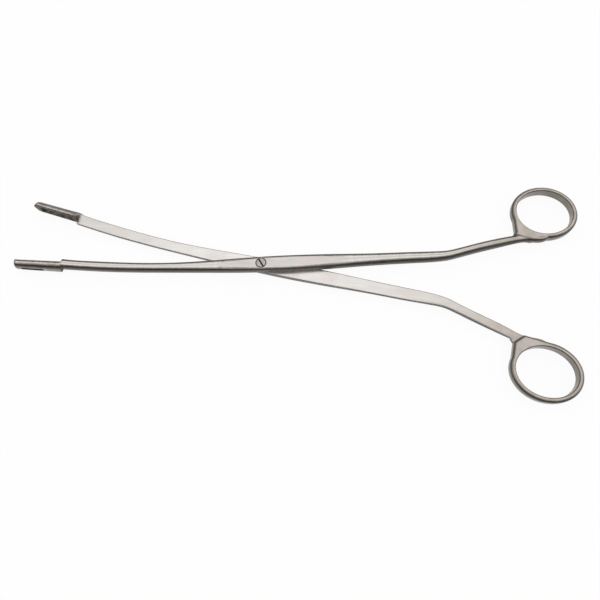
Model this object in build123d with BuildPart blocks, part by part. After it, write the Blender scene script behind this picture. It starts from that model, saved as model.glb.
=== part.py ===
from build123d import *
from math import atan2, cos, degrees, radians, sin, sqrt, tan
import os

# Kidney stone forceps: two forged halves crossed in a plain lap joint and held by one slotted screw.
# Millimetres and degrees. The forceps lies flat with +Z up, the rings towards +X and the jaws towards -X.
# The origin is on the screw's axis, on the flat land under the joint. The rest pose is partly open.

# Opening
rest_opening = 14.8         # between the two shanks as they rest
closed_crossing = 0.86      # left between the shanks when the jaws meet

# Lengths from the screw's axis
jaw_reach = 87.3            # to the root of the jaws
jaw_length = 22.1
bow_start = 20.0            # where the shanks begin to curve towards the jaws
bow_radius = 550.0
upper_bend_reach = 76.1     # where the handles part
lower_bend_reach = 75.8
upper_neck_reach = 41.4     # from there to the middle of the rings
lower_neck_reach = 40.95
bend_run = 3.2              # how far from its corner the bend starts and ends

# Shanks, half-round: a flat mating face, short walls and a crown
centre_offset = 0.35        # the shanks' middle line passes this far from the screw
upper_bend_offset = 0.0     # the same at the bend
lower_bend_offset = 0.35
upper_shank_width = 3.9
lower_shank_width = 4.4
joint_width = 6.3
upper_joint_shift = -0.3    # the upper half's joint lies to one side of its middle line
lower_joint_shift = 0.0
upper_grip_width = 4.35
lower_grip_width = 4.85
neck_width = 3.5            # between the bend and the ring
shank_thickness = 3.0
joint_thickness = 3.2
neck_thickness = 3.0
shank_crown = 1.6
joint_crown = 1.0
crown_ground_off = 0.25     # taken off the crown to leave a flat land round the screw
end_flare = 0.35            # how much wider each shank ends at the jaws, on the closing side
end_flare_run = 25.0
distal_taper = 44.0         # where the shank has its full slenderness, towards the jaws
proximal_taper = 60.0       # the same, towards the rings
neck_taper_start = 12.0     # before the bend, where the grip begins to narrow
neck_taper_end = 7.0        # past the bend, where the neck has its full slenderness
boss_front = 8.0            # the joint is widest from here
boss_back = 12.0            # to here

# Joint
mating_gap = 0.05
head_diameter = 4.1
head_height = 1.3
head_clearance = 0.06       # each side
pivot_diameter = 3.2
pivot_clearance = 0.05      # each side
thread_diameter = 2.6
slot_width = 0.45
slot_depth = 0.6
slot_angle = -53.0
head_edge = 0.12            # broken edge of the head

# Jaws: together they close into a round rod
jaw_root_radius = 3.15
jaw_tip_radius = 2.85
jaw_depth_gain = 0.4        # each half's round is centred this far outside the closing plane
jaw_nose = 1.5              # rounding of the nose
jaw_lean = 5.5              # the jaws' line against the closed axis
jaw_side = 4.45             # the closed jaws' face beside the closed axis, at their root
jaw_ramp = 1.2              # the run of the slope at each jaw's root, clear of the other half
jaw_root_clearance = 0.3    # between that slope and the end of the other half's shank
jaw_lap = 0.3               # how far each jaw's own side laps its shank
jaw_face_gap = 0.05         # each side of the closing plane
trough_radius = 2.1
trough_root_wall = 2.2
trough_tip_wall = 2.6
window_length = 10.0
window_width = 1.5
window_tip_distance = 3.6
tooth_pitch = 0.8
tooth_depth = 0.2

# Finger rings: oval bars that span both halves' thickness
upper_ring_long = 24.3      # middle of bar to middle of bar
upper_ring_short = 21.5
lower_ring_long = 24.8
lower_ring_short = 21.1
ring_bar = 1.95
ring_outer_edge = 1.3       # rounding of the bar's outer edges
ring_inner_edge = 0.3       # bevel of the opening's edges
ring_height = 4.3
upper_ring_spread = 17.2    # from the half's own middle line to the ring's middle
lower_ring_spread = 19.65
upper_ring_turn = -8.0
lower_ring_turn = -3.0
upper_heel_inset = 15.2     # from the ring's middle back to where the neck turns to meet it
lower_heel_inset = 8.7
upper_heel_fall = 0.5       # how far that turn lies beyond the foot of the ring
lower_heel_fall = 0.0
upper_heel_run = 6.0        # how far from its corner that turn starts and ends
lower_heel_run = 7.0
web_inset = 0.4             # the web's outer wall inside the ring's reach
web_start = 1.0             # beside the ring's middle, where that wall leaves the ring
upper_web_corner = 9.3      # beside the ring's middle, where it meets the neck
lower_web_corner = 9.95
web_flare = 1.2             # that corner is eased by this much
web_foot = 2.5              # from that corner to the end of the step from the mating face up to the web
web_face_inset = 1.0        # how far that step starts inside the corner
web_crown_foot = 1.6        # from the corner to the end of the web on the side of the crown
web_foot_reach = 7.0        # before the ring's middle, where the web's foot is widest
web_foot_gain = 0.65        # and how far it lies outside the ring there
neck_run_in = 14.0          # the length over which the neck sinks to the web
neck_sunk = 0.1             # how far its crown lies below the web's flat
neck_end_sunk = 0.5         # how far it lies below the ring's flat at its end
neck_end_inset = 0.2        # how far its sides end inside the ring's bar

mating_height = joint_thickness + mating_gap / 2

# Where the shanks' sections are taken, as shares of the middle line's length: closest at the bend
stations = (0.0, 0.07, 0.16, 0.26, 0.34, 0.41, 0.48, 0.56, 0.65, 0.73, 0.78, 0.8, 0.82, 0.87, 0.92, 0.96, 1.0)
spare = 0.5


def ease(a, b, x):
    """A smooth step from 0 at a to 1 at b."""
    u = min(1.0, max(0.0, (x - a) / (b - a)))
    return u * u * (3 - 2 * u)


def blend(start, end, share):
    return start + (end - start) * share


def turned(point, angle):
    """A point of the plan turned about the screw's axis."""
    x, y = point
    c, s = cos(radians(angle)), sin(radians(angle))
    return (x * c - y * s, x * s + y * c)


def bulk(x, bend_reach, distal, joint, grip, neck):
    """A size that runs from the shank through the joint and the grip to the neck."""
    if x < boss_front:
        return blend(distal, joint, ease(-distal_taper, boss_front, x))
    at_grip = blend(joint, grip, ease(boss_back, proximal_taper, x))
    return blend(at_grip, neck, ease(bend_reach - neck_taper_start, bend_reach + neck_taper_end, x))


def half_round(plane, width, thickness, crown):
    """One section of a shank. The mating face is at the plane's zero line; the spare below it is cut off."""
    wall = thickness - crown
    with BuildSketch(plane) as section:
        with BuildLine():
            EllipticalCenterArc((0, wall), width / 2, crown, arc_size=180)
            Polyline((-width / 2, wall), (-width / 2, -spare), (width / 2, -spare), (width / 2, wall))
        make_face()
    return section.sketch


def ring_and_web(side, shank_angle, centre, ring_long, ring_short, ring_turn, web_corner):
    """The finger ring and its web: a flat blank as thick as both halves, with rounded edges."""
    ring_plane = Plane(
        origin=(centre[0], centre[1], mating_height),
        x_dir=Vector(1, 0, 0).rotate(Axis.Z, shank_angle),
        z_dir=(0, 0, 1),
    )
    turned_plane = ring_plane.rotated((0, 0, ring_turn))
    web_left = -(ring_long + ring_bar) / 2 + web_inset
    with BuildPart() as blank:
        with BuildSketch(turned_plane):
            Ellipse((ring_long + ring_bar) / 2, (ring_short + ring_bar) / 2)
        extrude(amount=ring_height / 2, both=True)
        ring_foot = (ring_short + ring_bar) / 2
        crown_outline = [
            (web_left - web_flare, web_corner + web_flare / 4),
            (web_left + web_crown_foot, web_corner + web_crown_foot),
        ]
        face_outline = [
            (web_left + web_face_inset, web_corner),
            (web_left + web_face_inset + web_foot, web_corner + web_foot),
        ]
        for toward, outline in ((side, crown_outline), (-side, face_outline)):
            corners = [
                (web_left, web_start),
                (web_left, web_corner - web_flare),
                *outline,
                (-web_foot_reach, ring_foot + web_foot_gain),
                (0, ring_foot),
                (0, 0),
            ]
            with BuildSketch(ring_plane):
                Polygon(*[(x, -side * y) for x, y in corners], align=None)
            extrude(amount=toward * ring_height / 2)
        flats = blank.faces().sort_by(Axis.Z)
        fillet(flats[0].edges() + flats[-1].edges(), ring_outer_edge)
        with BuildSketch(turned_plane):
            Ellipse((ring_long - ring_bar) / 2, (ring_short - ring_bar) / 2)
        extrude(amount=ring_height / 2, both=True, mode=Mode.SUBTRACT)
        chamfer(blank.edges(Select.LAST).filter_by(GeomType.ELLIPSE), ring_inner_edge)
    return blank.part


def half_jaw(side, closed_angle):
    """Half of an oval rod with a blunt nose, scooped out along its flat face and pierced by a window."""
    root = turned((-jaw_reach, jaw_side), closed_angle)
    heading = closed_angle - jaw_lean
    along = Vector(-1, 0, 0).rotate(Axis.Z, heading)
    outward = Vector(0, -side, 0).rotate(Axis.Z, heading)
    origin = Vector(root[0], root[1], mating_height) + outward * jaw_face_gap
    rod_middle = origin + outward * jaw_depth_gain
    face = Plane(origin=origin, x_dir=along, z_dir=along.cross(Vector(0, 0, 1)))
    plan = Plane(origin=origin, x_dir=along, z_dir=(0, 0, 1))
    rod_plane = Plane(origin=rod_middle, x_dir=along, z_dir=along.cross(Vector(0, 0, 1)))
    trough_run = jaw_length - trough_root_wall - trough_tip_wall
    trough_start = Plane(origin=origin + along * trough_root_wall, z_dir=along)
    nose = jaw_length - jaw_nose
    teeth = int(nose / tooth_pitch)
    with BuildPart() as jaw:
        with BuildSketch(rod_plane):
            with BuildLine():
                Polyline(
                    (jaw_length, jaw_tip_radius - jaw_nose),
                    (jaw_length, 0),
                    (-jaw_lap, 0),
                    (-jaw_lap, jaw_root_radius),
                    (nose, jaw_tip_radius),
                )
                CenterArc((nose, jaw_tip_radius - jaw_nose), jaw_nose, 0, 90)
            make_face()
        revolve(axis=Axis(rod_middle, along))
        split(bisect_by=Plane(origin=origin, z_dir=outward), keep=Keep.TOP)
        with BuildSketch(face):
            Polygon(
                (-trough_root_wall, -side * mating_gap / 2),
                (jaw_root_clearance, -side * mating_gap / 2),
                (jaw_root_clearance + jaw_ramp, -side * jaw_root_radius),
                (jaw_root_clearance + jaw_ramp, -side * 2 * jaw_root_radius),
                (-trough_root_wall, -side * 2 * jaw_root_radius),
                align=None,
            )
        extrude(amount=2 * jaw_root_radius, both=True, mode=Mode.SUBTRACT)
        with BuildSketch(plan):
            with Locations((teeth * tooth_pitch / 2, 0)):
                with GridLocations(tooth_pitch, 0, teeth, 1):
                    Polygon(
                        (-tooth_pitch / 2, -side * tooth_depth),
                        (tooth_pitch / 2, -side * tooth_depth),
                        (0, side * tooth_depth),
                        align=None,
                    )
        extrude(amount=jaw_root_radius, both=True, mode=Mode.SUBTRACT)
        with Locations(trough_start):
            Cylinder(trough_radius, trough_run, align=(Align.CENTER, Align.CENTER, Align.MIN), mode=Mode.SUBTRACT)
        with BuildSketch(face):
            with Locations((jaw_length - window_tip_distance - window_length / 2, 0)):
                SlotOverall(window_length, window_width)
        extrude(amount=2 * jaw_root_radius, both=True, mode=Mode.SUBTRACT)
    return jaw.part


def corner_radius(before, corner, after, run):
    """The radius of the arc that starts and ends a run away from a corner between three plan points."""
    one = atan2(corner[1] - before[1], corner[0] - before[0])
    two = atan2(after[1] - corner[1], after[0] - corner[0])
    return run / abs(tan((two - one) / 2))


def forge_half(side, shank_width, joint_shift, grip_width, bend_reach, bend_offset, neck_reach,
               ring_long, ring_short, spread, ring_turn, heel_inset, heel_fall, heel_run, web_corner):
    """One half: jaw, shank and ring in one piece. The upper half has side 1, the lower half side -1."""
    shank_angle = side * rest_opening / 2
    closed_angle = side * (rest_opening - closed_crossing) / 2
    up = Vector(0, 0, side)
    face_height = mating_height + side * mating_gap / 2
    ring_reach = bend_reach + neck_reach
    centre = turned((ring_reach, side * spread), shank_angle)

    # The middle line of the shank, from the root of the jaw to the ring
    bow = 2 * degrees(atan2(jaw_reach - bow_start, 2 * bow_radius))
    bow_middle = (bow_start + jaw_reach) / 2
    rise = (jaw_reach - bow_middle) * tan(radians(bow))
    turn = radians(ring_turn)
    ring_drop = sqrt((ring_long / 2 * sin(turn)) ** 2 + (ring_short / 2 * cos(turn)) ** 2)
    heel = side * (spread - ring_drop)
    route = [
        (-jaw_reach, centre_offset + rise),
        (-bow_middle, centre_offset),
        (bend_reach, bend_offset),
        (ring_reach - heel_inset, heel - side * heel_fall),
        (ring_reach, heel),
    ]
    bend_radius = corner_radius(*route[1:4], bend_run)
    heel_radius = corner_radius(*route[2:5], heel_run)
    with BuildLine() as middle:
        FilletPolyline(*[turned(p, shank_angle) for p in route], radius=[bow_radius, bend_radius, heel_radius])

    # Half-round sections, each square to the middle line
    web_reach = ring_reach - (ring_long + ring_bar) / 2
    sections = []
    for station in stations:
        place = middle.line @ station
        ahead = middle.line % station
        x = turned((place.X, place.Y), -shank_angle)[0]
        width = bulk(x, bend_reach, shank_width, joint_width, grip_width, neck_width)
        width = blend(width, ring_bar - 2 * neck_end_inset, ease(web_reach, ring_reach, x))
        flare = end_flare * ease(end_flare_run - jaw_reach, -jaw_reach, x)
        width += flare
        shift = bulk(x, bend_reach, 0, joint_shift, 0, 0) + flare / 2
        at_joint = joint_thickness + crown_ground_off
        thickness = bulk(x, bend_reach, shank_thickness, at_joint, shank_thickness, neck_thickness)
        thickness = blend(thickness, ring_height / 2 - neck_sunk, ease(web_reach - neck_run_in, web_reach, x))
        thickness = blend(thickness, ring_height / 2 - neck_end_sunk, ease(web_reach, ring_reach, x))
        crown = bulk(x, bend_reach, shank_crown, joint_crown, shank_crown, shank_crown)
        across = Vector(0, 0, side).cross(ahead)
        origin = Vector(place.X, place.Y, face_height) + across * side * shift
        plane = Plane(origin=origin, x_dir=across, z_dir=ahead)
        sections.append(half_round(plane, width, thickness, crown))

    opening = Plane(
        origin=(centre[0], centre[1], mating_height),
        x_dir=Vector(1, 0, 0).rotate(Axis.Z, shank_angle + ring_turn),
        z_dir=(0, 0, 1),
    )
    bow_part = ring_and_web(side, shank_angle, centre, ring_long, ring_short, ring_turn, web_corner)
    jaw_part = half_jaw(side, closed_angle)
    with BuildPart() as half:
        loft(sections)
        split(bisect_by=Plane(origin=(0, 0, face_height), z_dir=up), keep=Keep.TOP)
        land_height = face_height + side * joint_thickness
        split(bisect_by=Plane(origin=(0, 0, land_height), z_dir=up), keep=Keep.BOTTOM)
        with BuildSketch(opening):
            Ellipse(
                (ring_long - ring_bar) / 2 + 2 * ring_inner_edge,
                (ring_short - ring_bar) / 2 + 2 * ring_inner_edge,
            )
        extrude(amount=ring_height, both=True, mode=Mode.SUBTRACT)
        add(bow_part)
        add(jaw_part)
    return half


upper_half = forge_half(
    1, upper_shank_width, upper_joint_shift, upper_grip_width, upper_bend_reach, upper_bend_offset,
    upper_neck_reach, upper_ring_long, upper_ring_short, upper_ring_spread, upper_ring_turn,
    upper_heel_inset, upper_heel_fall, upper_heel_run, upper_web_corner,
)
lower_half = forge_half(
    -1, lower_shank_width, lower_joint_shift, lower_grip_width, lower_bend_reach, lower_bend_offset,
    lower_neck_reach, lower_ring_long, lower_ring_short, lower_ring_spread, lower_ring_turn,
    lower_heel_inset, lower_heel_fall, lower_heel_run, lower_web_corner,
)

# The joint is bored: a seat for the screw's head in the upper half, a tapped hole in the lower half
lower_face = mating_height - mating_gap / 2
top_land = mating_height + mating_gap / 2 + joint_thickness
with upper_half:
    with Locations((0, 0, top_land)):
        CounterBoreHole(
            radius=pivot_diameter / 2 + pivot_clearance,
            counter_bore_radius=head_diameter / 2 + head_clearance,
            counter_bore_depth=head_height + mating_gap,
            depth=2 * joint_thickness,
        )
with lower_half:
    with Locations((0, 0, lower_face)):
        Hole(thread_diameter / 2, depth=2 * joint_thickness)

# The screw: a slotted head let in flush, a smooth neck that the upper half turns on, a threaded end
with BuildPart() as joint_screw:
    with BuildSketch(Plane.XZ):
        with BuildLine():
            Polyline(
                (0, 0),
                (thread_diameter / 2, 0),
                (thread_diameter / 2, lower_face),
                (pivot_diameter / 2, lower_face),
                (pivot_diameter / 2, top_land - head_height),
                (head_diameter / 2, top_land - head_height),
                (head_diameter / 2, top_land - head_edge),
                (head_diameter / 2 - head_edge, top_land),
                (0, top_land),
                close=True,
            )
        make_face()
    revolve(axis=Axis.Z)
    with BuildSketch(Plane.XY.offset(top_land - slot_depth)):
        Rectangle(2 * head_diameter, slot_width, rotation=slot_angle)
    extrude(amount=2 * slot_depth, mode=Mode.SUBTRACT)

upper_half.part.label = "upper_half"
lower_half.part.label = "lower_half"
joint_screw.part.label = "joint_screw"

os.makedirs("parts", exist_ok=True)
export_step(upper_half.part, "parts/upper_half.step")
export_step(lower_half.part, "parts/lower_half.step")
export_step(joint_screw.part, "parts/joint_screw.step")
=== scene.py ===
# %% [markdown]
# # Kidney stone forceps
# A long hinged forceps in stainless steel. Two forged halves cross in a plain lap joint and turn on one slotted
# screw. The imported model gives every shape. This lesson dresses them: it takes the photograph's viewpoint, lights
# the metal, and gives each ground face, dull shoulder and stained jaw its own finish.

import math
from types import SimpleNamespace

import bpy
import numpy as np
from mathutils import Matrix, Vector


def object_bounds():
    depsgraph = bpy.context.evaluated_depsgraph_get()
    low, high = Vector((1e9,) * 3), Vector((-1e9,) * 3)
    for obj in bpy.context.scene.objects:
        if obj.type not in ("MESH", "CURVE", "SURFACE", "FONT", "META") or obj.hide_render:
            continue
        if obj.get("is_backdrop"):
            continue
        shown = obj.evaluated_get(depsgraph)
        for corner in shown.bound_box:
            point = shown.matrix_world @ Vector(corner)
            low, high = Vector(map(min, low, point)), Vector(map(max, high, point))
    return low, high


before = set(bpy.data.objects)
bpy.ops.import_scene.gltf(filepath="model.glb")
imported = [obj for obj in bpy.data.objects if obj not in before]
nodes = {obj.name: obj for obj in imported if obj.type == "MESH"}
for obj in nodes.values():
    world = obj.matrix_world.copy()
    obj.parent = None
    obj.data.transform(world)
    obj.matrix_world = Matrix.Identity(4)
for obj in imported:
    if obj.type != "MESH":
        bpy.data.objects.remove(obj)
cad_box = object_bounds()
print("nodes:", sorted(nodes))

# %% [markdown]
# ## Viewpoint
# The photograph was taken from close above the forceps, leaning a little to the near side. A close camera makes
# the rings look larger than they would from far away. One could place a camera by eye and nudge it. Here the
# focal length, tilt, yaw and spin were fitted once, so that the screw, the jaws and both rings fall in their places
# in a square picture, and the camera's place then follows from where the screw's head is seen.

# %% Camera
MM = 0.001
# Pixels: the picture's side, the focal length, and where the head's middle is seen
PICTURE = 600
FOCAL = 520.0
HEAD_PIXEL = (260.9, 262.6)
# Millimetres: the sensor's width, one pixel at the screw, and the middle of the head's top
SENSOR = 36.0
MM_PER_PIXEL = 0.415
HEAD_TOP = Vector((0.0, 0.0, 6.45))
# Metres: nothing closer than this is drawn
NEAREST = 0.01
# Radians: how far the camera leans to the near side, turns sideways, and rolls
TILT = 0.3234
YAW = -0.0875
SPIN = math.radians(-4.88)

plane_x = Vector((math.cos(YAW), 0.0, -math.sin(YAW)))
plane_y = Vector((-math.sin(TILT) * math.sin(YAW), math.cos(TILT), -math.sin(TILT) * math.cos(YAW)))
row_x = plane_x * math.cos(SPIN) + plane_y * math.sin(SPIN)
row_y = plane_y * math.cos(SPIN) - plane_x * math.sin(SPIN)
row_z = plane_x.cross(plane_y)
to_row = Matrix((row_x, row_y, row_z))
head_seen = Vector((HEAD_PIXEL[0] - PICTURE / 2, PICTURE / 2 - HEAD_PIXEL[1], -FOCAL)) * MM_PER_PIXEL
camera_place = HEAD_TOP - to_row @ head_seen

camera = bpy.data.objects.new("camera", bpy.data.cameras.new("camera"))
camera.data.sensor_width = SENSOR
camera.data.lens = SENSOR * FOCAL / PICTURE
camera.data.clip_start = NEAREST
camera.matrix_world = Matrix.Translation(camera_place * MM) @ to_row.to_4x4()
bpy.context.scene.collection.objects.link(camera)
bpy.context.scene.camera = camera
print("camera at", [round(c, 1) for c in camera_place], "mm")

# %% [markdown]
# ## Colours and nodes
# Colours are written as the hex values that a picture editor shows, and turned to the linear values that the
# renderer works with. One small function adds a shader node with its settings and links, so that a finish reads as
# a list of what is done to the metal. Masks are joined in two ways: both hold, or either holds.


# %% Helpers for materials
def colour(code):
    """sRGB hex to linear: c/12.92 up to 0.04045, else ((c + 0.055) / 1.055) to the power 2.4."""
    parts = np.array([int(code[i : i + 2], 16) for i in (1, 3, 5)]) / 255
    linear = np.where(parts <= 0.04045, parts / 12.92, ((parts + 0.055) / 1.055) ** 2.4)
    return (*linear.tolist(), 1.0)


def add(tree, kind, settings=None, stops=(), **sockets):
    """Adds one node with its settings, the stops of its colour ramp, and its values and links.

    A socket is named by its place, as i0, or by its label with _ for a space. It takes a value, a node's output,
    or a node, which then gives its first live output.
    """
    node = tree.nodes.new(kind)
    for name, value in (settings or {}).items():
        setattr(node, name, value)
    if stops:
        elements = node.color_ramp.elements
        while len(elements) < len(stops):
            elements.new(0.5)
        for element, (place, tone) in zip(elements, stops):
            element.position, element.color = place, tone
    for name, value in sockets.items():
        label = name.replace("_", " ")
        by_label = [socket for socket in node.inputs if socket.enabled and socket.name == label]
        socket = by_label[0] if by_label else node.inputs[int(name[1:])]
        if isinstance(value, bpy.types.Node):
            value = [output for output in value.outputs if output.enabled][0]
        if isinstance(value, bpy.types.NodeSocket):
            tree.links.new(value, socket)
        else:
            socket.default_value = value
    return node


def new_material(name):
    """An empty material and its node tree."""
    material = bpy.data.materials.new(name)
    material.use_nodes = True
    material.node_tree.nodes.clear()
    return material, material.node_tree


BOTH = {"operation": "MULTIPLY"}
EITHER = {"operation": "MAXIMUM"}
SIZE_OF = {"operation": "ABSOLUTE"}
LAY_OVER = {"data_type": "RGBA"}
SHADE = {"data_type": "RGBA", "blend_type": "MULTIPLY"}
print("steel grey", [round(c, 3) for c in colour("#BCB7B1")])

# %% [markdown]
# ## Light
# Polished metal shows its surroundings more than its own colour. The photograph's shanks have a wide light band
# on top and a dark band on the near shoulder, so the surroundings are one broad soft ceiling that stops well above
# the horizon on the near side, where the room is dark. Lamps could do this, but each would show in the metal as a
# patch with an edge. The world carries the light instead, as a smooth function of direction: the angle from straight
# up, measured towards the near side. The steel's colour paints the bands in as well, as painted reflection and
# painted shade. The level of the ceiling is the one at which a flat white sheet on the floor gets a light of 1, so a
# colour renders about as it is written. Low down the world is pale all round, so that the board has a clean ground
# behind it in low views.

# %% World
CEILING = 1.2
# Degrees from straight up, above 0 towards the near side, and the share of the ceiling's level there
LEVELS = [
    (-76, 0.06),
    (-70, 0.06),
    (-58, 1.0),
    (8, 1.0),
    (20, 0.95),
    (34, 0.75),
    (46, 0.4),
    (58, 0.1),
    (80, 0.08),
]
HORIZON = 0.82
HORIZON_STARTS, HORIZON_FULL = 0.3, 0.2

world = bpy.data.worlds.new("studio")
bpy.context.scene.world = world
world.use_nodes = True
tree = world.node_tree
tree.nodes.clear()
axes = add(tree, "ShaderNodeSeparateXYZ", Vector=add(tree, "ShaderNodeTexCoord").outputs["Generated"])
towards_near = add(tree, "ShaderNodeMath", {"operation": "MULTIPLY"}, i0=axes.outputs["Y"], i1=-1.0)
angle = add(tree, "ShaderNodeMath", {"operation": "ARCTAN2"}, i0=towards_near, i1=axes.outputs["Z"])
share = add(tree, "ShaderNodeMapRange", Value=angle, From_Min=-math.pi, From_Max=math.pi)
stops = [((degrees + 180) / 360, (level, level, level, 1.0)) for degrees, level in LEVELS]
ceiling = add(tree, "ShaderNodeValToRGB", stops=stops, Fac=share)
low = add(tree, "ShaderNodeMapRange", Value=axes.outputs["Z"], From_Min=HORIZON_STARTS, From_Max=HORIZON_FULL)
shown = add(tree, "ShaderNodeMix", LAY_OVER, Factor=low, A=ceiling, B=(HORIZON, HORIZON, HORIZON, 1.0))
add(tree, "ShaderNodeOutputWorld", Surface=add(tree, "ShaderNodeBackground", Color=shown, Strength=CEILING))
print("world:", len(LEVELS), "levels, the brightest", CEILING * max(level for _, level in LEVELS))

# %% [markdown]
# ## Floor
# The forceps lies on a plain white board. The board is matt: it has no gloss and keeps only a faint shadow of the
# metal. To the camera and in the metal it glows a little below white, so it stays one even ground in every view.

# %% Floor
FLOOR_HALF = 3.0
FLOOR_HEIGHT = -0.0002
BOARD = "#F4F4F4"
BOARD_GLOW = 0.93


def flat_sheet(name, half, height):
    """A square of side 2 * half at one height, as a four-point mesh."""
    points = [(-half, -half, height), (half, -half, height), (half, half, height), (-half, half, height)]
    mesh = bpy.data.meshes.new(name)
    mesh.from_pydata(points, [], [(0, 1, 2, 3)])
    sheet = bpy.data.objects.new(name, mesh)
    bpy.context.scene.collection.objects.link(sheet)
    return sheet


floor = flat_sheet("floor", FLOOR_HALF, FLOOR_HEIGHT)
white_board, tree = new_material("matt_white_board")
matt = add(tree, "ShaderNodeBsdfDiffuse", Color=colour(BOARD))
glow = add(tree, "ShaderNodeEmission", Color=colour("#FFFFFF"), Strength=1.0)
ray = add(tree, "ShaderNodeLightPath").outputs
seen = ray["Is Camera Ray"]
for kind in ("Is Glossy Ray", "Is Transmission Ray"):
    seen = add(tree, "ShaderNodeMath", {"operation": "ADD", "use_clamp": True}, i0=seen, i1=ray[kind])
seen = add(tree, "ShaderNodeMath", {"operation": "MULTIPLY"}, i0=seen, i1=BOARD_GLOW)
add(tree, "ShaderNodeOutputMaterial", Surface=add(tree, "ShaderNodeMixShader", i0=seen, i1=matt, i2=glow))
floor.data.materials.append(white_board)
floor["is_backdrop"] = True
print("floor:", [round(c, 3) for c in floor.dimensions], "m")

# %% [markdown]
# ## Stainless steel of the two halves
# Each half is one forging in stainless steel, its flat faces ground bright. Its tops are painted lighter and its
# shoulders and walls darker, by how far the surface leans: painted reflection and painted shade in the colour.
# Separate materials would cut the mesh into zones with hard borders, which the real piece doesn't have. Instead one
# material asks two things of every point, how far its surface leans from level and where on the half it lies, and
# lays one finish over another by the answers.
#
# The lean is 1 on a level face and 0 on an upright wall. It is measured in the piece's own frame, so the finish
# rides along when the joint moves. A bevel node turns the lean smoothly near each edge, while the mesh stays as it
# is, and that gives the thin dark line of a broken edge, partly in the shading and partly as painted shade in the
# colour.

# %% What the steel asks of every point
MATING_HEIGHT = 3.225 * MM
EDGE_ROUNDING = 0.6 * MM
NECK_SHADE_BEVEL = 1.2 * MM
BEVEL_RAYS = {"samples": 6}
TO_PIECE = {"vector_type": "NORMAL", "convert_from": "WORLD", "convert_to": "OBJECT"}
IN_PLAN = (1.0, 1.0, 0.0)

halves = [SimpleNamespace(name="upper_half", outward=1.0), SimpleNamespace(name="lower_half", outward=-1.0)]
for half in halves:
    half.material, half.tree = new_material("forged_stainless_steel_" + half.name)
    half.here = add(half.tree, "ShaderNodeTexCoord").outputs["Object"]
    half.rounded = add(half.tree, "ShaderNodeBevel", BEVEL_RAYS, Radius=EDGE_ROUNDING)
    wide_bevel = add(half.tree, "ShaderNodeBevel", BEVEL_RAYS, Radius=NECK_SHADE_BEVEL)
    plain = add(half.tree, "ShaderNodeNewGeometry").outputs["Normal"]
    turned = [add(half.tree, "ShaderNodeVectorTransform", TO_PIECE, i0=way) for way in (plain, half.rounded, wide_bevel)]
    plain, rounded, wide_bevel = [add(half.tree, "ShaderNodeSeparateXYZ", Vector=way).outputs for way in turned]
    half.plain_lean = add(half.tree, "ShaderNodeMath", SIZE_OF, i0=plain["Z"])
    half.lean = add(half.tree, "ShaderNodeMath", SIZE_OF, i0=rounded["Z"])
    half.towards_far = wide_bevel["Y"]
    level = add(half.tree, "ShaderNodeVectorMath", {"operation": "MULTIPLY"}, i0=half.here, i1=IN_PLAN)
    half.from_screw = add(half.tree, "ShaderNodeVectorMath", {"operation": "LENGTH"}, i0=level)
    print(half.material.name, "asks with", len(half.tree.nodes), "nodes")

# %% [markdown]
# ## Crown and shoulders
# The shank is half round. Its colour is painted by the lean: a pale crown with a soft border against brown-grey
# shoulders and walls, painted reflection on top and painted shade at the sides, darkest on the lower half's walls.
# A ramp over the lean gives it.

# %% Crown and shoulders
# Painted reflection and shade: tones by lean, light on the crown, dark on the shoulders and walls.
WALL_SHADE_TONE = {"upper_half": "#5E5954", "lower_half": "#45403C"}
WALL_LEAN = 0.2
SHANK_LIGHT_AND_SHADE_TONES = [
    (0.4, "#5C5752"),
    (0.75, "#554F4B"),
    (0.85, "#5F5A55"),
    (0.92, "#827C76"),
    (0.96, "#BCB7B1"),
    (0.975, "#D3CFCA"),
]

for half in halves:
    tones = [(0.0, WALL_SHADE_TONE[half.name]), (WALL_LEAN, WALL_SHADE_TONE[half.name])] + SHANK_LIGHT_AND_SHADE_TONES
    stops = [(lean, colour(code)) for lean, code in tones]
    half.skin = add(half.tree, "ShaderNodeValToRGB", stops=stops, Fac=half.lean)
    print(half.name, "shank in", len(stops), "tones")

# %% [markdown]
# ## Ground flats
# The flat faces are ground across in slanting strokes, which gives a pale satin with faint streaks. Real strokes are
# about 0.1 mm apart, a quarter of a pixel here, so they are drawn 1.1 mm apart to show at all. The warm blotches
# are handling marks about as wide as a fingertip, and the face dulls a little away from the joint. The strokes are
# noise stretched along one direction. Each face ends in a thin dark edge of painted shade, where its lean falls
# away.

# %% Ground flats
FLAT_TONES = {"upper_half": ("#B4B0AC", "#D1CECA"), "lower_half": ("#CCC8C4", "#E6E4E1")}
SHANK_ANGLE = {"upper_half": 7.4, "lower_half": -7.4}
EDGE_SHADE_TONE, DULLED_TONE, WARM_TONE = "#57524D", "#ECEAE8", "#CDC1BC"
STROKE_SLANT = 52
STROKE_WIDTH = 1.1 * MM
STROKE_LENGTH = 9.0 * MM
BLOTCH = 9 * MM
BLOTCH_STARTS, BLOTCH_FULL, BLOTCH_SHARE = 0.48, 0.7, 0.6
HANDLED_FROM, HANDLED_FULLY = 25 * MM, 75 * MM
EDGE_LEAN = (0.9, 0.99)
FLAT_LEAN = (0.99, 0.998)

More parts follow.
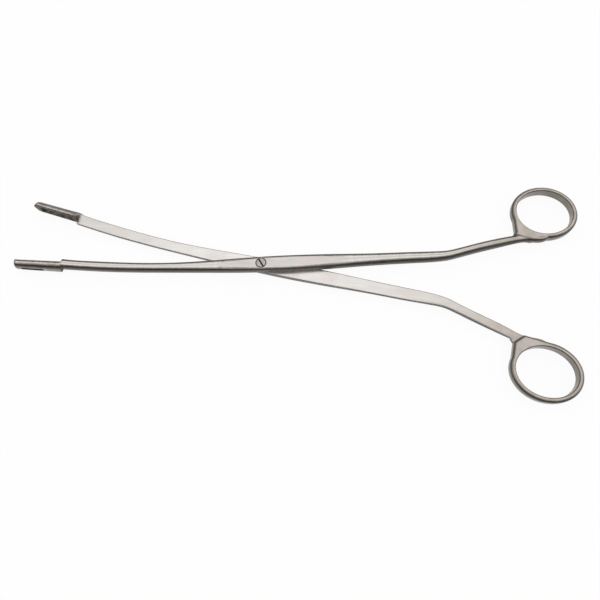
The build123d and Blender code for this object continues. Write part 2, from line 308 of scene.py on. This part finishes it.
for half in halves:
    tree, here = half.tree, half.here
    turn = (0, 0, math.radians(-SHANK_ANGLE[half.name] - STROKE_SLANT))
    stretch = (1 / STROKE_LENGTH, 1 / STROKE_WIDTH, 1 / STROKE_LENGTH)
    strokes_at = add(tree, "ShaderNodeMapping", Vector=here, Rotation=turn, Scale=stretch)
    half.strokes = add(tree, "ShaderNodeTexNoise", Vector=strokes_at, Scale=1.0, Detail=1.0)
    dark, pale = [colour(code) for code in FLAT_TONES[half.name]]
    flat = add(tree, "ShaderNodeMix", LAY_OVER, Factor=half.strokes, A=dark, B=pale)
    handled = add(
        tree, "ShaderNodeMapRange", Value=half.from_screw, From_Min=HANDLED_FROM, From_Max=HANDLED_FULLY
    )
    flat = add(tree, "ShaderNodeMix", SHADE, Factor=handled, A=flat, B=colour(DULLED_TONE))
    blotches = add(tree, "ShaderNodeTexNoise", Vector=here, Scale=1 / BLOTCH, Detail=3.0)
    warm = add(
        tree,
        "ShaderNodeMapRange",
        Value=blotches,
        From_Min=BLOTCH_STARTS,
        From_Max=BLOTCH_FULL,
        To_Max=BLOTCH_SHARE,
    )
    flat = add(tree, "ShaderNodeMix", LAY_OVER, Factor=warm, A=flat, B=colour(WARM_TONE))
    # Painted shade: a thin dark line where the lean falls away at each edge of a flat.
    off_edge = add(tree, "ShaderNodeMapRange", Value=half.lean, From_Min=EDGE_LEAN[0], From_Max=EDGE_LEAN[1])
    flat = add(tree, "ShaderNodeMix", LAY_OVER, Factor=off_edge, A=colour(EDGE_SHADE_TONE), B=flat)
    half.is_flat = add(
        tree, "ShaderNodeMapRange", Value=half.plain_lean, From_Min=FLAT_LEAN[0], From_Max=FLAT_LEAN[1]
    )
    half.skin = add(tree, "ShaderNodeMix", LAY_OVER, Factor=half.is_flat, A=half.skin, B=flat)
    print(half.name, "flats ground at", round(math.degrees(turn[2]), 1), "degrees")

# %% [markdown]
# ## Finger rings
# The rings and their webs are rounded over and greyer than the ground faces. A ramp over the lean paints their
# crests light and their walls dark, painted reflection and painted shade, and soft spots of painted highlight, a few
# millimetres across, about 8 pixels of the photograph, mottle them. The finish is laid on by distance from the
# ring's middle, and on level faces it fades out slowly along the neck.

# %% Finger rings
RING_CENTRE = {"upper_half": (114.21, 32.18), "lower_half": (113.25, -34.52)}
RING_LIGHT_AND_SHADE_TONES = [
    (0.0, "#8D8782"),
    (0.25, "#87817B"),
    (0.5, "#5E5954"),
    (0.8, "#67615C"),
    (0.92, "#96908A"),
    (0.97, "#BBB4AD"),
    (1.0, "#C2BBB4"),
]
SPOT_HIGHLIGHT_TONES = ("#C4BFBA", "#FFFFFF")
HIGHLIGHT_SPOT = 3.5 * MM
RING_ENDS, RING_FULL = 20 * MM, 16.5 * MM
NECK_ENDS, NECK_FULL = 45 * MM, 17 * MM
TOP_LEAN = (0.86, 0.95)

for half in halves:
    tree = half.tree
    middle = Vector((*RING_CENTRE[half.name], 0.0)) * MM + Vector((0.0, 0.0, MATING_HEIGHT))
    half.from_ring = add(tree, "ShaderNodeVectorMath", {"operation": "DISTANCE"}, i0=half.here, i1=middle)
    on_ring = add(tree, "ShaderNodeMapRange", Value=half.from_ring, From_Min=RING_ENDS, From_Max=RING_FULL)
    on_neck = add(tree, "ShaderNodeMapRange", Value=half.from_ring, From_Min=NECK_ENDS, From_Max=NECK_FULL)
    on_top = add(tree, "ShaderNodeMapRange", Value=half.lean, From_Min=TOP_LEAN[0], From_Max=TOP_LEAN[1])
    on_neck = add(tree, "ShaderNodeMath", BOTH, i0=on_neck, i1=on_top)
    on_ring = add(tree, "ShaderNodeMath", EITHER, i0=on_ring, i1=on_neck)
    # Painted highlights: soft light spots mottle the ring.
    highlight_spots = add(tree, "ShaderNodeTexNoise", Vector=half.here, Scale=1 / HIGHLIGHT_SPOT, Detail=2.0)
    dark, pale = [colour(code) for code in SPOT_HIGHLIGHT_TONES]
    highlight_spots = add(tree, "ShaderNodeMix", LAY_OVER, Factor=highlight_spots, A=dark, B=pale)
    # Painted reflection and shade: light crests and dark walls, by lean.
    stops = [(lean, colour(code)) for lean, code in RING_LIGHT_AND_SHADE_TONES]
    ring = add(tree, "ShaderNodeValToRGB", stops=stops, Fac=half.lean)
    ring = add(tree, "ShaderNodeMix", SHADE, Factor=1.0, A=ring, B=highlight_spots)
    half.skin = add(tree, "ShaderNodeMix", LAY_OVER, Factor=on_ring, A=half.skin, B=ring)
    print(half.name, "ring at", RING_CENTRE[half.name], "mm")

# %% [markdown]
# ## Painted shade on the neck's near edge
# Between shank and ring a dark line of painted shade runs along the near edge of the flat face. No facet is
# modelled there. A wider bevel turns the direction there, and the part of it that faces the near side is the mask.

# %% Painted shade on the neck's near edge
NECK_EDGE_SHADE_TONE = "#5A554F"
NECK_SHADE_STARTS, NECK_SHADE_FULL = -0.1, -0.3
NECK_FROM, NECK_ON = 62 * MM, 78 * MM
WEB_ENDS, WEB_CLEAR = 16.5 * MM, 18.5 * MM

for half in halves:
    tree = half.tree
    along = add(tree, "ShaderNodeSeparateXYZ", Vector=half.here).outputs["X"]
    # Painted shade: a dark band along the near edge of the neck's flat face.
    neck_edge_shade = add(
        tree, "ShaderNodeMapRange", Value=half.towards_far, From_Min=NECK_SHADE_STARTS, From_Max=NECK_SHADE_FULL
    )
    at_neck = add(tree, "ShaderNodeMapRange", Value=along, From_Min=NECK_FROM, From_Max=NECK_ON)
    off_web = add(tree, "ShaderNodeMapRange", Value=half.from_ring, From_Min=WEB_ENDS, From_Max=WEB_CLEAR)
    for mask in (at_neck, off_web, half.is_flat):
        neck_edge_shade = add(tree, "ShaderNodeMath", BOTH, i0=neck_edge_shade, i1=mask)
    half.skin = add(tree, "ShaderNodeMix", LAY_OVER, Factor=neck_edge_shade, A=half.skin, B=colour(NECK_EDGE_SHADE_TONE))
    print(half.name, "neck filed from", round(NECK_FROM / MM), "mm")

# %% [markdown]
# ## Place in the jaw
# The jaw's own finish needs to know where in the jaw a point lies: how far from the root towards the tip, how far
# out from the closing face, and how high above the middle. A Mapping node turns the piece's coordinates to the
# jaw's heading and moves the root to zero. The lower half's jaw opens the other way, so its sign changes.

# %% Place in the jaw
JAW_ROOT = {"upper_half": (-87.195, -6.177), "lower_half": (-86.115, 15.011)}
JAW_HEADING = {"upper_half": 1.47, "lower_half": -12.47}
TROUGH_RADIUS = 2.1 * MM
ROOT_SEAM = (-0.1 * MM, 0.25 * MM)
TROUGH_WALL = (TROUGH_RADIUS * 1.15, TROUGH_RADIUS * 1.03)
CLOSING_FACE = (0.95 * MM, 0.75 * MM)

for half in halves:
    tree = half.tree
    about = math.radians(180 - JAW_HEADING[half.name])
    root_x, root_y = (c * MM for c in JAW_ROOT[half.name])
    root = (
        root_x * math.cos(about) - root_y * math.sin(about),
        root_x * math.sin(about) + root_y * math.cos(about),
    )
    to_root = (-root[0], -root[1], -MATING_HEIGHT)
    in_jaw = add(tree, "ShaderNodeMapping", Vector=half.here, Location=to_root, Rotation=(0, 0, about))
    half.jaw = add(tree, "ShaderNodeSeparateXYZ", Vector=in_jaw).outputs
    out = add(tree, "ShaderNodeMath", {"operation": "MULTIPLY"}, i0=half.jaw["Y"], i1=half.outward)
    square = add(tree, "ShaderNodeMath", {"operation": "MULTIPLY"}, i0=out, i1=out)
    radius = add(
        tree, "ShaderNodeMath", {"operation": "MULTIPLY_ADD"}, i0=half.jaw["Z"], i1=half.jaw["Z"], i2=square
    )
    radius = add(tree, "ShaderNodeMath", {"operation": "SQRT"}, i0=radius)
    half.on_jaw, in_trough, on_face = [
        add(tree, "ShaderNodeMapRange", Value=measure, From_Min=start, From_Max=full)
        for measure, (start, full) in ((half.jaw["X"], ROOT_SEAM), (radius, TROUGH_WALL), (out, CLOSING_FACE))
    ]
    half.inside = add(tree, "ShaderNodeMath", EITHER, i0=in_trough, i1=on_face)
    print(half.name, "jaw root turned to", [round(c / MM, 2) for c in root], "mm")

# %% [markdown]
# ## Stained jaws
# Use and boiling stain the jaws brown-grey, most of all inside the troughs, where no cloth reaches. The stain is
# blotchy, in patches of 2.2 mm, about 5 pixels of the photograph. Outside the troughs a ramp over the lean paints a
# bright line along the top and dark bands beside it, painted highlight and painted shade. Near the tip the colour
# turns to a darker plain grey nose, painted shade that makes the tip look rounded. The window through each jaw is
# cut in the model, and a dark tone is laid on its rim and walls.

# %% Stained jaws
JAW_LIGHT_AND_SHADE_TONES = [
    (0.0, "#A8A39E"),
    (0.3, "#A29D98"),
    (0.5, "#8B8680"),
    (0.62, "#5F5A56"),
    (0.8, "#625D58"),
    (0.92, "#9C9691"),
    (0.97, "#D2CDC8"),
]
OUTER_VEIL = ("#DDD9D5", "#FFFFFF")
INNER_TONES = ("#47413C", "#7E7871")
DARK_TONE, NOSE_SHADE_TONE = "#2E2926", "#6A6865"
STAIN_PATCH = 2.2 * MM
STAIN_STARTS, STAIN_FULL = 0.35, 0.68
WINDOW_START, WINDOW_END, WINDOW_HALF = 8.5 * MM, 18.5 * MM, 0.75 * MM
DARK_REACH, DARK_FULL = 0.3 * MM, 0.1 * MM
NOSE_STARTS, NOSE_FULL, NOSE_SHARE = 20.0 * MM, 21.4 * MM, 0.8

for half in halves:
    tree, jaw = half.tree, half.jaw
    stain = add(tree, "ShaderNodeTexNoise", Vector=half.here, Scale=1 / STAIN_PATCH, Detail=4.0)
    stain = add(tree, "ShaderNodeMapRange", Value=stain, From_Min=STAIN_STARTS, From_Max=STAIN_FULL)
    # Painted highlight and shade: by lean, a bright line on top and dark bands beside it.
    stops = [(lean, colour(code)) for lean, code in JAW_LIGHT_AND_SHADE_TONES]
    outer = add(tree, "ShaderNodeValToRGB", stops=stops, Fac=half.lean)
    veil, inner = [
        add(tree, "ShaderNodeMix", LAY_OVER, Factor=stain, A=colour(dark), B=colour(pale))
        for dark, pale in (OUTER_VEIL, INNER_TONES)
    ]
    outer = add(tree, "ShaderNodeMix", SHADE, Factor=1.0, A=outer, B=veil)
    stained = add(tree, "ShaderNodeMix", LAY_OVER, Factor=half.inside, A=outer, B=inner)
    # A dark tone on the window's rim and walls.
    height = add(tree, "ShaderNodeMath", SIZE_OF, i0=jaw["Z"])
    past_start, before_end, at_height = [
        add(tree, "ShaderNodeMapRange", Value=measure, From_Min=start, From_Max=full)
        for measure, start, full in (
            (jaw["X"], WINDOW_START - DARK_REACH, WINDOW_START),
            (jaw["X"], WINDOW_END + DARK_REACH, WINDOW_END),
            (height, WINDOW_HALF + DARK_REACH, WINDOW_HALF + DARK_FULL),
        )
    ]
    at_window = add(tree, "ShaderNodeMath", BOTH, i0=past_start, i1=before_end)
    at_window = add(tree, "ShaderNodeMath", BOTH, i0=at_window, i1=at_height)
    stained = add(tree, "ShaderNodeMix", LAY_OVER, Factor=at_window, A=stained, B=colour(DARK_TONE))
    # Painted shade: a darker grey towards the tip, so the nose looks rounded.
    nose_shade = add(
        tree, "ShaderNodeMapRange", Value=jaw["X"], From_Min=NOSE_STARTS, From_Max=NOSE_FULL, To_Max=NOSE_SHARE
    )
    stained = add(tree, "ShaderNodeMix", LAY_OVER, Factor=nose_shade, A=stained, B=colour(NOSE_SHADE_TONE))
    half.skin = add(tree, "ShaderNodeMix", LAY_OVER, Factor=half.on_jaw, A=half.skin, B=stained)
    print(half.name, "jaw stained in patches of", round(STAIN_PATCH / MM, 1), "mm")

# %% [markdown]
# ## Joint
# The halves turn against each other at the joint. The walls beside it are darkened with painted shade, and grime
# fills the fine gap round the screw's head, a dark ring on the land. Both go by distance from the screw's axis.

# %% Joint
HEAD_RADIUS = 2.05 * MM
JOINT_WALL_SHADE_TONE, RIM_TONE = "#56514C", "#3E3733"
JOINT_SHADE_ENDS, JOINT_SHADE_FULL = 48 * MM, 26 * MM
WALL_STARTS, WALL_FULL = 0.5, 0.3
RIM_ENDS, RIM_FULL = HEAD_RADIUS + 0.28 * MM, HEAD_RADIUS + 0.14 * MM

for half in halves:
    tree = half.tree
    # Painted shade: the walls near the screw are darkened.
    joint_shade = add(tree, "ShaderNodeMapRange", Value=half.from_screw, From_Min=JOINT_SHADE_ENDS, From_Max=JOINT_SHADE_FULL)
    is_wall = add(tree, "ShaderNodeMapRange", Value=half.lean, From_Min=WALL_STARTS, From_Max=WALL_FULL)
    joint_shade = add(tree, "ShaderNodeMath", BOTH, i0=joint_shade, i1=is_wall)
    half.skin = add(tree, "ShaderNodeMix", LAY_OVER, Factor=joint_shade, A=half.skin, B=colour(JOINT_WALL_SHADE_TONE))
    rim = add(tree, "ShaderNodeMapRange", Value=half.from_screw, From_Min=RIM_ENDS, From_Max=RIM_FULL)
    half.skin = add(tree, "ShaderNodeMix", LAY_OVER, Factor=rim, A=half.skin, B=colour(RIM_TONE))
print("grime round the head out to", round(RIM_ENDS / MM, 2), "mm")

# %% [markdown]
# ## Gloss of the steel
# Ground stainless steel is satin: it mirrors the ceiling softly, a little more sharply in one stroke than in the
# next. The stained troughs are twice as dull. It is bare metal all over, so the metallic value is 1 and the index
# of refraction stays at its default. The bevel's direction also eases the highlights along the edges.

# %% Dress the two halves
STROKE_DEEP, STROKE_HIGH = 0.3, 0.7
SHARPEST, SOFTEST = 0.2, 0.3
STAINED_DULL = 0.5

for half in halves:
    tree = half.tree
    satin = add(
        tree,
        "ShaderNodeMapRange",
        Value=half.strokes,
        From_Min=STROKE_DEEP,
        From_Max=STROKE_HIGH,
        To_Min=SHARPEST,
        To_Max=SOFTEST,
    )
    dull = add(tree, "ShaderNodeMath", BOTH, i0=half.inside, i1=half.on_jaw)
    rough = add(tree, "ShaderNodeMapRange", Value=dull, To_Min=satin, To_Max=STAINED_DULL)
    steel = add(
        tree, "ShaderNodeBsdfPrincipled", Metallic=1.0, Base_Color=half.skin, Roughness=rough, Normal=half.rounded
    )
    add(tree, "ShaderNodeOutputMaterial", Surface=steel)
    nodes[half.name].data.materials.clear()
    nodes[half.name].data.materials.append(half.material)
    print(half.name, "dressed with", half.material.name, "of", len(tree.nodes), "nodes")

# %% [markdown]
# ## Turned screw
# The screw is turned from stainless steel on a lathe, its head filed flush with the joint's land and slotted. It is
# a little darker and browner than the land, in blotches of 1.2 mm, about 3 pixels of the photograph. Old grime
# fills the fine gap round the head and shows as a dark line. The slot itself is cut in the model. A dark, dull
# colour is laid on by place: near the rim, below the head's top, and on the slot's two lips.

# %% Screw steel
HEAD_TONES = ("#8B857F", "#BDB8B2")
CLEAN_ROUGH, DARKENED_ROUGH = 0.28, 0.6
LAND_HEIGHT = 6.45 * MM
HEAD_BLOTCH = 1.2 * MM
RIM_STARTS, RIM_DARK = HEAD_RADIUS * 0.86, HEAD_RADIUS * 0.98
SLOT_STARTS, SLOT_DARK = LAND_HEIGHT - 0.04 * MM, LAND_HEIGHT - 0.14 * MM
SLOT_HALF = 0.225 * MM
LIP_STARTS, LIP_DARK = SLOT_HALF + 0.16 * MM, SLOT_HALF + 0.04 * MM
SLOT_HEADING = math.radians(-53)
SLOT_SIDE = (-math.sin(SLOT_HEADING), math.cos(SLOT_HEADING), 0.0)

screw_steel, tree = new_material("turned_stainless_steel_screw")
here = add(tree, "ShaderNodeTexCoord").outputs["Object"]
axes = add(tree, "ShaderNodeSeparateXYZ", Vector=here).outputs
in_plan = add(tree, "ShaderNodeCombineXYZ", X=axes["X"], Y=axes["Y"])
radius = add(tree, "ShaderNodeVectorMath", {"operation": "LENGTH"}, i0=in_plan)
across = add(tree, "ShaderNodeVectorMath", {"operation": "DOT_PRODUCT"}, i0=in_plan, i1=SLOT_SIDE)
across = add(tree, "ShaderNodeMath", SIZE_OF, i0=across)
at_rim, in_slot, by_slot = [
    add(tree, "ShaderNodeMapRange", Value=measure, From_Min=start, From_Max=full)
    for measure, start, full in (
        (radius, RIM_STARTS, RIM_DARK),
        (axes["Z"], SLOT_STARTS, SLOT_DARK),
        (across, LIP_STARTS, LIP_DARK),
    )
]
# A dark, dull tone near the rim, below the head's top and on the slot's lips.
darkened = add(tree, "ShaderNodeMath", EITHER, i0=at_rim, i1=in_slot)
darkened = add(tree, "ShaderNodeMath", EITHER, i0=darkened, i1=by_slot)
blotches = add(tree, "ShaderNodeTexNoise", Vector=here, Scale=1 / HEAD_BLOTCH, Detail=3.0)
dark, pale = [colour(code) for code in HEAD_TONES]
bright = add(tree, "ShaderNodeMix", LAY_OVER, Factor=blotches, A=dark, B=pale)
skin = add(tree, "ShaderNodeMix", LAY_OVER, Factor=darkened, A=bright, B=colour(DARK_TONE))
rough = add(tree, "ShaderNodeMapRange", Value=darkened, To_Min=CLEAN_ROUGH, To_Max=DARKENED_ROUGH)
steel = add(tree, "ShaderNodeBsdfPrincipled", Metallic=1.0, Base_Color=skin, Roughness=rough)
add(tree, "ShaderNodeOutputMaterial", Surface=steel)
nodes["joint_screw"].data.materials.clear()
nodes["joint_screw"].data.materials.append(screw_steel)
print("joint_screw dressed with", screw_steel.name)

# %% [markdown]
# ## Finish
# The Standard view shows colours as they were written. The boxes of the imported model and of the dressed one are
# set side by side, and how far the dressing moved the box is printed.

# %% Finish
bpy.context.scene.view_settings.view_transform = "Standard"
sizes = {"cad": [list(corner) for corner in cad_box], "visual": [list(corner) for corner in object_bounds()]}
moved = np.abs(np.subtract(sizes["visual"], sizes["cad"])).max() / MM
print("the dressing moved the box by", round(float(moved), 3), "mm")
